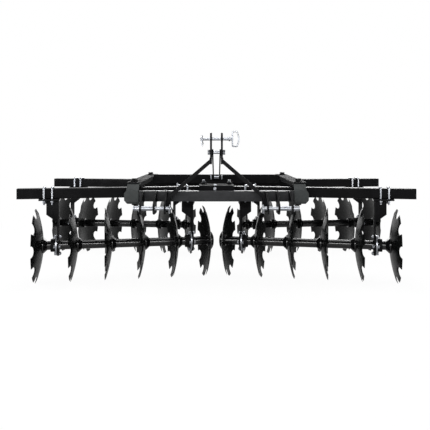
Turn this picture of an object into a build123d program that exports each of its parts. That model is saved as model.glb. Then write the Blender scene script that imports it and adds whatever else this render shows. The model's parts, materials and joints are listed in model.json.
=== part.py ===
from build123d import *

# Tandem disc harrow for a three-point hitch, standing on its own discs.
# Millimetres. X runs across the machine, Y from the hitch to the rear, Z up from the ground.
# Four gangs of notched discs hang under square beams. Each beam swivels on an upright bolt
# near the centre line and is clamped to a side rail at its gang angle.
# Every gang piece is drawn for the right-hand side and mirrored to the left.

import os
from collections import namedtuple
from math import atan2, cos, degrees, radians, sin, sqrt, tan

os.makedirs("parts", exist_ok=True)

# Discs
disc_d = 457.0
disc_dish = 40.0
disc_t = 4.5
disc_flat_d = 112.0
disc_count = 6
disc_pitch = 212.0
notch_count = 10
notch_r = 34.0
notch_centre_r = 222.0

# Gang shaft, spools and end washers
shaft_across = 30.0
shaft_end = 34.0
spool_d = 55.0
flare_d = 96.0
flare_l = 28.0
flare_rim = 6.0
hollow_flange_d = 74.0
hollow_flange_t = 12.0
bumper_d = 118.0
bumper_t = 24.0
bumper_land = 8.0
end_washer_d = 74.0
end_washer_t = 12.0
end_nut_d = 52.0
end_nut_t = 22.0
running_gap = 0.05
seat_gap = 0.3

# Gang beams
tube = 65.0
tube_wall = 5.0
tube_corner_r = 6.0
beam_over_discs = 66.0
beam_past_pivot = 32.0
front_beam_reach = 1172.0
rear_beam_reach = 1245.0

# Gang places and angles. The gap is between the beam lines on the centre line.
gang_gap = 699.0
pivot_x = 85.0
front_angle = 11.1
rear_angle = 7.1
swing = 4.0
front_first_disc = 0.0
rear_first_disc = 119.7

# Hangers and bearings. Along the gang, places are counted from the hanger's web.
clamp_plate_l = 123.0
clamp_plate_w = 108.0
clamp_plate_along = 53.0
plate_t = 10.0
web_along = 10.0
web_w = 60.0
web_eye_margin = 3.0
web_eye_gap = 6.0
gusset_reach = 70.0
gusset_upright = 88.0
gusset_slant = 52.0
gusset_inset = 2.0
bearing_flange_t = 9.5
bearing_flange_margin = 11.0
housing_d = 80.0
housing_l = 40.0
flange_bolt_d = 12.0
flange_bolt_gap = 1.0
ubolt_d = 12.0
ubolt_along = 58.5
ubolt_pitch = 49.0
ubolt_tail = 26.0
ubolt_corner_r = 12.0
nut_af = 19.0
nut_t = 10.0
bolt_end = 3.0

# Main frame
front_tube_ahead = 187.3
front_tube_drop = 16.5
front_tube_tuck = 17.0
rear_tube_ahead = 85.0
rear_tube_rise = 44.0
rail_x = 528.0
rail_w = 90.0
rail_depth = 31.0
fold_t = 8.0
fold_r = 10.0
corner_below_beam = 32.0
corner_low_cut = 14.0
corner_slope_over_tube = 4.5
corner_foot_trim_w = 18.0
corner_foot_trim_h = 24.0
corner_top_trim_w = 14.0
corner_top_trim_h = 16.0
corner_lap = 42.0
corner_foot_front = 195.0
corner_foot_rear = 180.0
rear_end_behind = 185.0
pivot_bracket_half = 112.0
pivot_bracket_t = 8.0
pivot_edge = 35.0
pivot_bolt_d = 20.0
pivot_washer_d = 44.0
beam_clearance = 5.0
bolt_head_d = 38.0
bolt_head_t = 13.0
lock_bolt_d = 20.0
lock_washer_d = 46.0
lock_washer_t = 6.0
slot_clearance = 1.0

# Hitch
lug_x = (308.0, 375.0, 455.0)
lug_t = 10.0
lug_top = 30.0
lug_nose_r = 36.0
lower_pin_ahead = 120.0
lower_pin_below_tube = 62.0
lower_pin_d = 22.0
lower_pin_big_d = 28.0
lower_pin_in = 272.0
lower_pin_out = 499.0
pin_collar_d = 42.0
pin_collar_t = 8.0
leg_t = 22.0
leg_w = 50.0
leg_x = 33.4
leg_bend_below_pin = 125.0
leg_bend_r = 21.0
leg_foot_low = 27.0
leg_foot_h = 85.0
head_t = 12.0
head_above_pin = 38.0
head_lap = 30.0
mast_height = 418.0
top_pin_d = 19.0
top_pin_left = 100.0
top_pin_right = 95.0
top_pin_collar_d = 28.0
top_pin_collar_t = 8.0
top_pin_collar_x = 76.0
handle_rod_d = 9.0
handle_w = 50.0
handle_h = 101.0
handle_point = 12.0
handle_corner_r = 8.0
mast_bolt_below_pin = 82.0
mast_bolt_d = 20.0
mast_nut_af = 30.0
mast_nut_t = 14.0
stay_t = 8.0
stay_w = 38.0
stay_rear_ahead = 23.5
stay_rear_up = 13.5
stay_ear_w = 46.0
stay_nut_t = 10.0

# Worked-out places
disc_r = disc_d / 2
axle_z = disc_r
beam_low = disc_d + beam_over_discs
beam_z = beam_low + tube / 2
beam_top = beam_low + tube
front_tube_z = beam_z - front_tube_drop
rear_tube_z = beam_z + rear_tube_rise
rail_top_z = beam_top + beam_clearance + rail_depth
corner_low_z = beam_low - corner_below_beam
corner_slope_z = front_tube_z + tube / 2 + corner_slope_over_tube
lower_pin_z = front_tube_z - lower_pin_below_tube
top_pin_z = lower_pin_z + mast_height
mast_bolt_z = top_pin_z - mast_bolt_below_pin
leg_bend_z = top_pin_z - leg_bend_below_pin
notch_half = 180 / notch_count
front_edge = disc_r * cos(radians(notch_half / 2))
front_line_reach = front_edge * cos(radians(front_angle)) + sin(radians(front_angle)) * (
    pivot_x / cos(radians(front_angle)) + front_first_disc + (disc_count - 1) * disc_pitch
)
rear_line_reach = front_edge * cos(radians(rear_angle)) + sin(radians(rear_angle)) * (
    pivot_x / cos(radians(rear_angle)) + rear_first_disc + (disc_count - 1) * disc_pitch
)
y_middle = (front_line_reach - rear_line_reach) / 2
front_pivot_y = y_middle - gang_gap / 2 - pivot_x * tan(radians(front_angle))
rear_pivot_y = y_middle + gang_gap / 2 + pivot_x * tan(radians(rear_angle))
front_tube_y = front_pivot_y - front_tube_ahead
front_face_y = front_tube_y - tube / 2
rear_tube_y = rear_pivot_y - rear_tube_ahead
rear_end_y = rear_pivot_y + rear_end_behind
rail_in = rail_x - rail_w / 2
rail_out = rail_x + rail_w / 2
lower_pin_y = front_face_y - lower_pin_ahead
leg_y = front_face_y - beam_clearance - leg_w / 2
leg_foot_x = lug_x[0] - lug_t / 2 - leg_t / 2

# A gang: its name, pivot y, gang angle (outer end back is positive), distance from the pivot
# to the first disc's rim, side of the disc that is hollow (1 outer, -1 inner), beam length
Gang = namedtuple("Gang", "name pivot_y angle first hollow reach")
gangs = [
    Gang("front", front_pivot_y, -front_angle, front_first_disc, 1, front_beam_reach),
    Gang("rear", rear_pivot_y, rear_angle, rear_first_disc, -1, rear_beam_reach),
]


def along(gang):
    """Direction from the pivot to the gang's outer end."""
    return Vector(cos(radians(gang.angle)), sin(radians(gang.angle)), 0)


def back(gang):
    """Level direction square to the gang, towards the rear."""
    return Vector(-sin(radians(gang.angle)), cos(radians(gang.angle)), 0)


def place(gang, u, v, z):
    """Point u along the gang, v behind its line, at height z."""
    return Vector(pivot_x, gang.pivot_y, z) + along(gang) * u + back(gang) * v


def cross_plane(gang, u, z=axle_z):
    """Plane square to the gang's line, its X to the rear and its Y up."""
    return Plane(place(gang, u, 0, z), x_dir=back(gang), z_dir=along(gang))


def face_plane(gang, u, v, z):
    """Upright plane that faces the front, its X outwards and its Y up."""
    return Plane(place(gang, u, v, z), x_dir=along(gang), z_dir=-back(gang))


def deck_plane(gang, u, z, v=0.0):
    """Level plane, its X along the gang and its Y to the rear."""
    return Plane(place(gang, u, v, z), x_dir=along(gang), z_dir=(0, 0, 1))


def axle_plane(gang, u):
    """Upright plane through the axle, its X outwards and its Y up, at the axle's height."""
    return face_plane(gang, u, 0, axle_z)


def hub(gang, k):
    """Place of the flat centre's bulging face on disc k, along the gang."""
    return gang.first + k * disc_pitch - gang.hollow * disc_dish


def write(solid, name):
    """Labels a finished right-hand or central piece and writes it."""
    solid.label = name
    export_step(solid, f"parts/{name}.step")


def write_pair(right, name):
    """Writes a right-hand piece and its mirror image on the left."""
    write(right, name + "_right")
    with BuildPart() as left:
        mirror(right, about=Plane.YZ)
    write(left.part, name + "_left")


# Discs: dished plates with a flat centre, a square eye and scalloped edges
for gang in gangs:
    with BuildPart() as discs:
        for k in range(disc_count):
            rim = gang.first + k * disc_pitch
            flat_r = disc_flat_d / 2
            skin = gang.hollow * disc_t
            mid_r = (disc_r + flat_r) / 2
            bow = disc_dish * 0.62
            with BuildSketch(axle_plane(gang, rim)) as section:
                with BuildLine():
                    low = gang.hollow * -disc_dish
                    eye = (low, 0)
                    outer = ThreePointArc(
                        (low, flat_r), (low + gang.hollow * (disc_dish - bow), mid_r), (0, disc_r)
                    )
                    inner = ThreePointArc(
                        (low + skin, flat_r),
                        (low + skin + gang.hollow * (disc_dish - bow), mid_r),
                        (skin, disc_r),
                    )
                    Line(eye, outer @ 0)
                    Line(outer @ 1, inner @ 1)
                    Line(inner @ 0, (low + skin, 0))
                    Line((low + skin, 0), eye)
                make_face()
            revolve(axis=Axis(place(gang, 0, 0, axle_z), along(gang)))
            with BuildSketch(cross_plane(gang, rim)) as cuts:
                with PolarLocations(notch_centre_r, notch_count, start_angle=90 + notch_half):
                    Circle(notch_r)
                Rectangle(shaft_across, shaft_across)
            extrude(amount=disc_dish + disc_t * 2, both=True, mode=Mode.SUBTRACT)
    write_pair(discs.part, f"discs_{gang.name}")

# Gang shafts: a square bar carries the spools, their flanges and the end pieces
for gang in gangs:
    axis = Axis(place(gang, 0, 0, axle_z), along(gang))
    bulge_end = 0 if gang.hollow > 0 else disc_count - 1
    hollow_end = disc_count - 1 - bulge_end
    outwards = gang.hollow
    bulge_face = hub(gang, bulge_end)
    hollow_face = hub(gang, hollow_end) + outwards * disc_t
    with BuildPart() as shaft:
        # the bar shows in the eyes of the discs and at its ends
        bar_from = bulge_face - outwards * bumper_land
        bar_to = hollow_face + outwards * (end_washer_t + end_nut_t + shaft_end / 2)
        with BuildSketch(cross_plane(gang, min(bar_from, bar_to))):
            Rectangle(shaft_across, shaft_across)
        extrude(amount=abs(bar_to - bar_from))
        # each spool runs from one disc's hollow face to the next disc's bulging face
        for k in range(disc_count - 1):
            hollow_disc = k if outwards > 0 else k + 1
            start = hub(gang, hollow_disc) + outwards * disc_t
            spool_l = disc_pitch - disc_t
            with BuildSketch(axle_plane(gang, start)):
                with BuildLine():
                    Polyline(
                        (0, 0),
                        (0, hollow_flange_d / 2),
                        (outwards * hollow_flange_t, hollow_flange_d / 2),
                        (outwards * hollow_flange_t, spool_d / 2),
                        (outwards * (spool_l - flare_l), spool_d / 2),
                        (outwards * (spool_l - flare_rim), flare_d / 2),
                        (outwards * spool_l, flare_d / 2),
                        (outwards * spool_l, 0),
                        close=True,
                    )
                make_face()
            revolve(axis=axis)
        # domed bumper against the last bulging disc
        with BuildSketch(axle_plane(gang, bulge_face)):
            with BuildLine():
                tip = -outwards * bumper_t
                land = -outwards * bumper_land
                rim_line = Line((0, bumper_d / 2), (land, bumper_d / 2))
                dome = ThreePointArc(
                    rim_line @ 1, (tip * 0.8, bumper_d * 0.36), (tip, bumper_d * 0.2)
                )
                Line(dome @ 1, (tip, 0))
                Line((tip, 0), (0, 0))
                Line((0, 0), (0, bumper_d / 2))
            make_face()
        revolve(axis=axis)
        # washer and nut against the last hollow disc
        washer_from = hollow_face if outwards > 0 else hollow_face - end_washer_t
        with BuildSketch(cross_plane(gang, washer_from)):
            Circle(end_washer_d / 2)
        extrude(amount=end_washer_t)
        nut_from = hollow_face + outwards * end_washer_t
        with BuildSketch(cross_plane(gang, nut_from if outwards > 0 else nut_from - end_nut_t)):
            RegularPolygon(end_nut_d / 2, 6)
        extrude(amount=end_nut_t)
    write_pair(shaft.part, f"gang_shaft_{gang.name}")


def web_place(gang, k):
    """Middle of the hanger's web, near the middle of the spool between discs k and k + 1."""
    spool_middle = hub(gang, k) + (disc_pitch + gang.hollow * disc_t) / 2
    return spool_middle + gang.hollow * web_along


bearing_spools = (0, disc_count - 2)
ubolt_half = tube / 2 + ubolt_d / 2 + seat_gap
flange_bolt_r = housing_d / 2 + flange_bolt_gap + nut_af / 2 / cos(radians(30))
bearing_flange_d = 2 * (flange_bolt_r + bearing_flange_margin)
web_eye_d = bearing_flange_d + 2 * web_eye_margin

# Gang beams: square tube with holes for the pivot bolt and the lock bolt
for gang in gangs:
    lock_u = (rail_x - pivot_x) / cos(radians(gang.angle))
    with BuildPart() as beam:
        with BuildSketch(cross_plane(gang, -beam_past_pivot, beam_z)):
            RectangleRounded(tube, tube, tube_corner_r)
            inside = tube - 2 * tube_wall
            Rectangle(inside, inside, mode=Mode.SUBTRACT)
        extrude(amount=gang.reach + beam_past_pivot)
        with BuildSketch(deck_plane(gang, 0, beam_low)):
            Circle(pivot_bolt_d / 2 + running_gap)
            with Locations((lock_u, 0)):
                Circle(lock_bolt_d / 2 + running_gap)
        extrude(amount=tube, mode=Mode.SUBTRACT)
    write_pair(beam.part, f"gang_beam_{gang.name}")

# Hangers: a clamp plate under the beam, and a web square to the axle whose round end carries
# the bearing, stiffened by a gusset that faces the front
for gang in gangs:
    lean = gang.hollow
    with BuildPart() as hangers:
        for k in bearing_spools:
            web = web_place(gang, k)
            plate_top = beam_low - seat_gap
            under = plate_top - plate_t
            with BuildSketch(deck_plane(gang, web + lean * clamp_plate_along, under)):
                RectangleRounded(clamp_plate_l, clamp_plate_w, tube_corner_r)
                with Locations((lean * (ubolt_along - clamp_plate_along), 0)):
                    with GridLocations(ubolt_pitch, 2 * ubolt_half, 2, 2):
                        Circle(ubolt_d / 2 + seat_gap, mode=Mode.SUBTRACT)
            extrude(amount=plate_t)
            with BuildSketch(cross_plane(gang, web)):
                Circle(web_eye_d / 2)
                with Locations((0, (under - axle_z) / 2)):
                    Rectangle(web_w, under - axle_z)
                Circle(spool_d / 2 + web_eye_gap, mode=Mode.SUBTRACT)
                with PolarLocations(flange_bolt_r, 4):
                    Circle(flange_bolt_d / 2 + seat_gap, mode=Mode.SUBTRACT)
            extrude(amount=plate_t / 2, both=True)
            with BuildSketch(face_plane(gang, web, gusset_inset - web_w / 2, under)):
                with BuildLine():
                    Polyline(
                        (0, 0),
                        (lean * gusset_reach, 0),
                        (lean * gusset_reach, -gusset_upright),
                        (0, -gusset_upright - gusset_slant),
                        close=True,
                    )
                make_face()
            extrude(amount=-plate_t)
    write_pair(hangers.part, f"hangers_{gang.name}")

# Bearings: flanged housings bolted to the outer face of each web, running on the spools
for gang in gangs:
    lean = gang.hollow
    with BuildPart() as bearings:
        for k in bearing_spools:
            seat = web_place(gang, k) + lean * plate_t / 2
            with BuildSketch(cross_plane(gang, seat)):
                Circle(bearing_flange_d / 2)
                with PolarLocations(flange_bolt_r, 4):
                    Circle(flange_bolt_d / 2 + seat_gap, mode=Mode.SUBTRACT)
            extrude(amount=lean * bearing_flange_t)
            with BuildSketch(cross_plane(gang, seat)):
                Circle(housing_d / 2)
            extrude(amount=lean * housing_l)
            with BuildSketch(cross_plane(gang, seat)):
                Circle(spool_d / 2 + running_gap)
            extrude(amount=lean * housing_l, mode=Mode.SUBTRACT)
    write_pair(bearings.part, f"bearings_{gang.name}")

# U-bolts over the beam, bolts of the bearing flanges, and the lock bolt that clamps the beam
# to the side rail
rail_web_low = rail_top_z - fold_t
for gang in gangs:
    lean = gang.hollow
    lock_u = (rail_x - pivot_x) / cos(radians(gang.angle))
    with BuildPart() as bolts:
        for k in bearing_spools:
            for side in (-1, 1):
                u = web_place(gang, k) + lean * ubolt_along + side * ubolt_pitch / 2
                crown = beam_top + ubolt_d / 2 + seat_gap
                tail = beam_low - plate_t - ubolt_tail
                with BuildLine(cross_plane(gang, u, 0)) as bow:
                    FilletPolyline(
                        (-ubolt_half, tail),
                        (-ubolt_half, crown),
                        (ubolt_half, crown),
                        (ubolt_half, tail),
                        radius=ubolt_corner_r,
                    )
                with BuildSketch(deck_plane(gang, u, tail, -ubolt_half)):
                    Circle(ubolt_d / 2)
                sweep(path=bow.line)
                # one nut under the clamp plate on each leg
                nut_top = beam_low - plate_t - 2 * seat_gap
                with BuildSketch(deck_plane(gang, u, nut_top - nut_t)):
                    with Locations((0, -ubolt_half), (0, ubolt_half)):
                        RegularPolygon(nut_af / 2, 6, major_radius=False)
                extrude(amount=nut_t)
            # each flange bolt has its head on the flange and its nut behind the web
            grip = plate_t + bearing_flange_t + 2 * seat_gap
            nut_face = web_place(gang, k) - lean * (plate_t / 2 + seat_gap)
            with BuildSketch(cross_plane(gang, nut_face - lean * (nut_t + bolt_end))):
                with PolarLocations(flange_bolt_r, 4):
                    Circle(flange_bolt_d / 2)
            extrude(amount=lean * (grip + nut_t + bolt_end))
            for face, step in ((nut_face, -lean), (nut_face + lean * grip, lean)):
                with BuildSketch(cross_plane(gang, face)):
                    with PolarLocations(flange_bolt_r, 4):
                        RegularPolygon(nut_af / 2, 6, major_radius=False)
                extrude(amount=step * nut_t)
        # the lock bolt with a washer and a head above the rail and below the corner's foot
        top = rail_top_z + seat_gap
        low = corner_low_z - seat_gap
        with BuildSketch(deck_plane(gang, lock_u, low)):
            Circle(lock_bolt_d / 2)
        extrude(amount=top - low)
        for face, step in ((top, 1), (low, -1)):
            with BuildSketch(deck_plane(gang, lock_u, face)):
                Circle(lock_washer_d / 2)
            extrude(amount=step * lock_washer_t)
            with BuildSketch(deck_plane(gang, lock_u, face + step * lock_washer_t)):
                RegularPolygon(bolt_head_d / 2, 6)
            extrude(amount=step * bolt_head_t)
    write_pair(bolts.part, f"beam_bolts_{gang.name}")

# Front cross tube, its ends tucked behind the corner folds
with BuildPart() as front_cross:
    with BuildSketch(Plane.YZ.offset(-rail_in - front_tube_tuck)):
        with Locations((front_tube_y, front_tube_z)):
            RectangleRounded(tube, tube, tube_corner_r)
            Rectangle(tube - 2 * tube_wall, tube - 2 * tube_wall, mode=Mode.SUBTRACT)
    extrude(amount=2 * (rail_in + front_tube_tuck))
write(front_cross.part, "front_cross_tube")

# Rear cross tube between the side rails, with two ears on its front face for the stays
stay_rear_y = rear_tube_y - tube / 2 - stay_rear_ahead
stay_rear_z = rear_tube_z + stay_rear_up
stay_x = leg_x - head_t / 2 - seat_gap - stay_t / 2
ear_x = stay_x + stay_t + seat_gap
with BuildPart() as rear_cross:
    with BuildSketch(Plane.YZ.offset(-rail_in)):
        with Locations((rear_tube_y, rear_tube_z)):
            RectangleRounded(tube, tube, tube_corner_r)
            Rectangle(tube - 2 * tube_wall, tube - 2 * tube_wall, mode=Mode.SUBTRACT)
    extrude(amount=2 * rail_in)
    for side in (-1, 1):
        with BuildSketch(Plane.YZ.offset(side * ear_x - stay_t / 2)):
            with Locations((stay_rear_y, stay_rear_z)):
                Circle(stay_ear_w / 2)
            with Locations((stay_rear_y + stay_rear_ahead / 2, stay_rear_z)):
                Rectangle(stay_rear_ahead, stay_ear_w)
            with Locations((stay_rear_y, stay_rear_z)):
                Circle(mast_bolt_d / 2 + running_gap, mode=Mode.SUBTRACT)
        extrude(amount=stay_t)
write(rear_cross.part, "rear_cross_tube")


def lock_slot(gang, extra):
    """Curved slot that the lock bolt sweeps, in the current sketch on a level plane."""
    reach = (rail_x - pivot_x) / cos(radians(gang.angle))
    with BuildLine():
        middle = CenterArc(
            (pivot_x, gang.pivot_y), reach, gang.angle - swing, 2 * swing
        )
    SlotArc(middle, lock_bolt_d + 2 * extra, mode=Mode.SUBTRACT)


# Side rails: channels open downwards, with slots for the lock bolts
corner_rise = rail_web_low - corner_slope_z
front_fold_y = front_face_y - fold_t
front_lap_y = front_fold_y + corner_rise + corner_lap
rear_lap_y = rear_end_y - corner_rise - corner_lap
rail_front_y = front_fold_y + corner_rise
rail_rear_y = rear_end_y - corner_rise
with BuildPart() as rail:
    with BuildSketch(Plane.XY.offset(rail_web_low)):
        with BuildLine():
            cut = corner_top_trim_w
            Polyline(
                (rail_in, rail_front_y),
                (rail_out - cut, rail_front_y),
                (rail_out, rail_front_y + cut),
                (rail_out, rail_rear_y - cut),
                (rail_out - cut, rail_rear_y),
                (rail_in, rail_rear_y),
                close=True,
            )
        make_face()
        for gang in gangs:
            lock_slot(gang, slot_clearance)
    extrude(amount=fold_t)
    for side in (-1, 1):
        with BuildSketch(Plane.XY.offset(rail_top_z - rail_depth)):
            with Locations(
                (rail_x + side * (rail_w - fold_t) / 2, (front_lap_y + rear_lap_y) / 2)
            ):
                Rectangle(fold_t, rear_lap_y - front_lap_y)
        extrude(amount=rail_depth - fold_t)
    outer_edges = rail.edges().filter_by(Axis.Y).group_by(Axis.Z)[-1]
    fillet(outer_edges, fold_t * 0.6)
write_pair(rail.part, "side_rail")

# Corners: plate folded over the end of the rail, down the end and back under the gang beam
# Each row holds the gang, the outer face's y, the direction inwards and the foot's length
corners = [
    (gangs[0], front_fold_y, 1, corner_foot_front),
    (gangs[1], rear_end_y, -1, corner_foot_rear),
]
for gang, face_y, inwards, foot in corners:
    with BuildPart() as corner:
        with BuildSketch(Plane.YZ.offset(rail_in)):
            with BuildLine():
                FilletPolyline(
                    (face_y + inwards * foot, corner_low_z),
                    (face_y + inwards * corner_low_cut, corner_low_z),
                    (face_y, corner_low_z + corner_low_cut),
                    (face_y, corner_slope_z),
                    (face_y + inwards * corner_rise, rail_web_low),
                    (face_y + inwards * (corner_rise + corner_lap), rail_web_low),
                    radius=fold_r,
                )
                offset(amount=fold_t, side=Side.LEFT if inwards < 0 else Side.RIGHT)
            make_face()
        extrude(amount=rail_w)
        # the outer edge is trimmed: a corner off the foot, and a narrower slope and lap
        with BuildSketch(Plane.XZ):
            with BuildLine():
                Polyline(
                    (rail_out - corner_foot_trim_w, corner_low_z - fold_t),
                    (rail_out - corner_foot_trim_w, corner_low_z),
                    (rail_out, corner_low_z + corner_foot_trim_h),
                    (rail_out + fold_t, corner_low_z + corner_foot_trim_h),
                    (rail_out + fold_t, corner_low_z - fold_t),
                    close=True,
                )
            make_face()
            with BuildLine():
                Polyline(
                    (rail_out, corner_slope_z - corner_top_trim_h),
                    (rail_out - corner_top_trim_w, corner_slope_z),
                    (rail_out - corner_top_trim_w, rail_top_z),
                    (rail_out + fold_t, rail_top_z),
                    (rail_out + fold_t, corner_slope_z - corner_top_trim_h),
                    close=True,
                )
            make_face()
        extrude(amount=rear_end_y - front_face_y, both=True, mode=Mode.SUBTRACT)
        with BuildSketch(Plane.XY.offset(corner_low_z - fold_t)):
            reach = (rail_x - pivot_x) / cos(radians(gang.angle))
            arc = CenterArc((pivot_x, gang.pivot_y), reach, gang.angle - swing, 2 * swing)
            SlotArc(arc, lock_bolt_d + 2 * slot_clearance)
        extrude(amount=3 * fold_t, mode=Mode.SUBTRACT)
    write_pair(corner.part, f"corner_{gang.name}")

# Pivot brackets: channels on the cross tubes, open towards the gang beams
collar_low = beam_low - beam_clearance
collar_top = beam_top + beam_clearance
brackets = [
    (gangs[0], front_tube_y + tube / 2, 1),
    (gangs[1], rear_tube_y + tube / 2, 1),
]
for gang, web_y, step in brackets:
    low = collar_low - pivot_bracket_t
    high = collar_top + pivot_bracket_t
    edge_y = gang.pivot_y + pivot_edge
    with BuildPart() as bracket:
        with BuildSketch(Plane.YZ.offset(-pivot_bracket_half)):
            with BuildLine():
                FilletPolyline(
                    (edge_y, low), (web_y, low), (web_y, high), (edge_y, high), radius=fold_r
                )
                offset(amount=pivot_bracket_t, side=Side.RIGHT)
            make_face()
        extrude(amount=2 * pivot_bracket_half)
        with BuildSketch(Plane.XY.offset(low)):
            with Locations((-pivot_x, gang.pivot_y), (pivot_x, gang.pivot_y)):
                Circle(pivot_bolt_d / 2 + running_gap)
        extrude(amount=high - low, mode=Mode.SUBTRACT)
        upright = bracket.edges().filter_by(Axis.Z).group_by(Axis.Y)[-1]
        fillet(upright, pivot_edge / 2)
    write(bracket.part, f"pivot_bracket_{gang.name}")

# Pivot bolts with the collars that the beams swivel between
with BuildPart() as pivots:
    for gang in gangs:
        for side in (-1, 1):
            at = (side * pivot_x, gang.pivot_y)
            low = collar_low - pivot_bracket_t
            high = collar_top + pivot_bracket_t
            with BuildSketch(Plane.XY.offset(low)):
                with Locations(at):
                    Circle(pivot_bolt_d / 2)
            extrude(amount=high - low)
            for face, amount in ((low, -bolt_head_t), (high, bolt_head_t)):
                with BuildSketch(Plane.XY.offset(face)):
                    with Locations(at):
                        RegularPolygon(bolt_head_d / 2, 6)
                extrude(amount=amount)
            for face, amount in (
                (collar_low, beam_clearance - seat_gap),
                (collar_top, seat_gap - beam_clearance),
            ):
                with BuildSketch(Plane.XY.offset(face)):
                    with Locations(at):
                        Circle(pivot_washer_d / 2)
                extrude(amount=amount)
write(pivots.part, "pivot_bolts")

# Hitch lugs: three plates a side on the front cross tube, bored for the lower pin
tube_low = front_tube_z - tube / 2
tube_high = front_tube_z + tube / 2
lug_low = lower_pin_z - lug_nose_r
with BuildPart() as lugs:
    for index, x in enumerate(lug_x):
        bore_d = lower_pin_d if index < 2 else lower_pin_big_d
        with BuildSketch(Plane.YZ.offset(x - lug_t / 2)):
            with BuildLine():
                nose = CenterArc((lower_pin_y, lower_pin_z), lug_nose_r, 120, 150)
                Polyline(
                    nose @ 0,
                    (front_face_y - lug_top, tube_high),
                    (front_face_y, tube_high),
                    (front_face_y, lug_low),
                    nose @ 1,
                )
            make_face()
            with Locations((lower_pin_y, lower_pin_z)):
                Circle(bore_d / 2 + running_gap, mode=Mode.SUBTRACT)
        extrude(amount=lug_t)
write_pair(lugs.part, "hitch_lugs")

# Lower hitch pins: stepped, so that two sizes of ball fit, with a collar at the outer lug
step_x = lug_x[1] + lug_t / 2 + seat_gap
collar_x = lug_x[2] + lug_t / 2
with BuildPart() as lower_pin:
    with BuildSketch(Plane.YZ.offset(lower_pin_in)):
        with Locations((lower_pin_y, lower_pin_z)):
            Circle(lower_pin_d / 2)
    extrude(amount=step_x - lower_pin_in)
    with BuildSketch(Plane.YZ.offset(step_x)):
        with Locations((lower_pin_y, lower_pin_z)):
            Circle(lower_pin_big_d / 2)
    extrude(amount=lower_pin_out - step_x)
    with BuildSketch(Plane.YZ.offset(collar_x)):
        with Locations((lower_pin_y, lower_pin_z)):
            Circle(pin_collar_d / 2)
    extrude(amount=pin_collar_t)
    chamfer(lower_pin.faces().sort_by(Axis.X)[0].edges(), 2)
    chamfer(lower_pin.faces().sort_by(Axis.X)[-1].edges(), 2)
write_pair(lower_pin.part, "lower_pin")

# Mast legs: an upright head plate for the top-link pin, and a bar welded to its outer side
# that slants down to the inner lug and ends upright against it
leg_foot_z = lower_pin_z - leg_foot_low
head_low_z = leg_bend_z - head_lap
head_top_z = top_pin_z + head_above_pin
with BuildPart() as leg:
    with BuildSketch(Plane.XZ.offset(-leg_y - leg_w / 2)):
        with BuildLine():
            FilletPolyline(
                (leg_x - leg_t, leg_bend_z + leg_t),
                (leg_foot_x - leg_t / 2, leg_foot_z + leg_foot_h),
                (leg_foot_x - leg_t / 2, leg_foot_z),
                radius=leg_bend_r,
            )
            offset(amount=leg_t, side=Side.LEFT)
        make_face()
        # the bar stops at the plate
        with Locations((0, leg_bend_z)):
            Rectangle(2 * leg_x, mast_height, mode=Mode.SUBTRACT)
        with Locations((leg_x, (head_top_z + head_low_z) / 2)):
            Rectangle(head_t, head_top_z - head_low_z)
    extrude(amount=leg_w)
    with BuildSketch(Plane.YZ):
        with Locations((leg_y, top_pin_z)):
            Circle(top_pin_d / 2 + running_gap)
        with Locations((leg_y, mast_bolt_z)):
            Circle(mast_bolt_d / 2 + running_gap)
    extrude(amount=leg_x + head_t, mode=Mode.SUBTRACT)
    head = leg.edges().filter_by(Axis.X).group_by(Axis.Z)[-1]
    fillet(head, leg_w * 0.45)
write_pair(leg.part, "mast_leg")

# Top-link pin with a collar and a handle of bent rod
with BuildPart() as top_pin:
    with BuildSketch(Plane.YZ.offset(-top_pin_left)):
        with Locations((leg_y, top_pin_z)):
            Circle(top_pin_d / 2)
    extrude(amount=top_pin_left + top_pin_right)
    chamfer(top_pin.faces().sort_by(Axis.X)[0].edges(), 2)
    with BuildSketch(Plane.YZ.offset(top_pin_collar_x)):
        with Locations((leg_y, top_pin_z)):
            Circle(top_pin_collar_d / 2)
    extrude(amount=top_pin_collar_t)
    with BuildLine(Plane.XZ.offset(-leg_y)) as handle_path:
        rod = handle_rod_d / 2
        x_in = top_pin_right + rod - 1
        x_out = x_in + handle_w - handle_rod_d
        half = handle_h / 2 - rod
        FilletPolyline(
            (x_in, top_pin_z - half),
            (x_in, top_pin_z + half),
            (x_out - handle_point, top_pin_z + half),
            (x_out, top_pin_z),
            (x_out - handle_point, top_pin_z - half),
            radius=handle_corner_r,
            close=True,
        )
    ring = handle_path.wire()
    with BuildSketch(Plane(ring @ 0, z_dir=ring % 0)):
        Circle(rod)
    sweep(path=ring)
write(top_pin.part, "top_link_pin")

# Bolts through the mast's clevis and the ears at the rear
head_face_x = leg_x + head_t / 2 + seat_gap
ear_face_x = ear_x + stay_t / 2 + seat_gap
with BuildPart() as mast_bolt:
    for y, z, face_x, thick in (
        (leg_y, mast_bolt_z, head_face_x, mast_nut_t),
        (stay_rear_y, stay_rear_z, ear_face_x, stay_nut_t),
    ):
        half = face_x + thick
        with BuildSketch(Plane.YZ.offset(-half)):
            with Locations((y, z)):
                Circle(mast_bolt_d / 2)
        extrude(amount=2 * half)
        for nut_from in (-half, face_x):
            with BuildSketch(Plane.YZ.offset(nut_from)):
                with Locations((y, z)):
                    RegularPolygon(mast_nut_af / 2, 6, major_radius=False)
            extrude(amount=thick)
write(mast_bolt.part, "mast_bolts")

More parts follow.
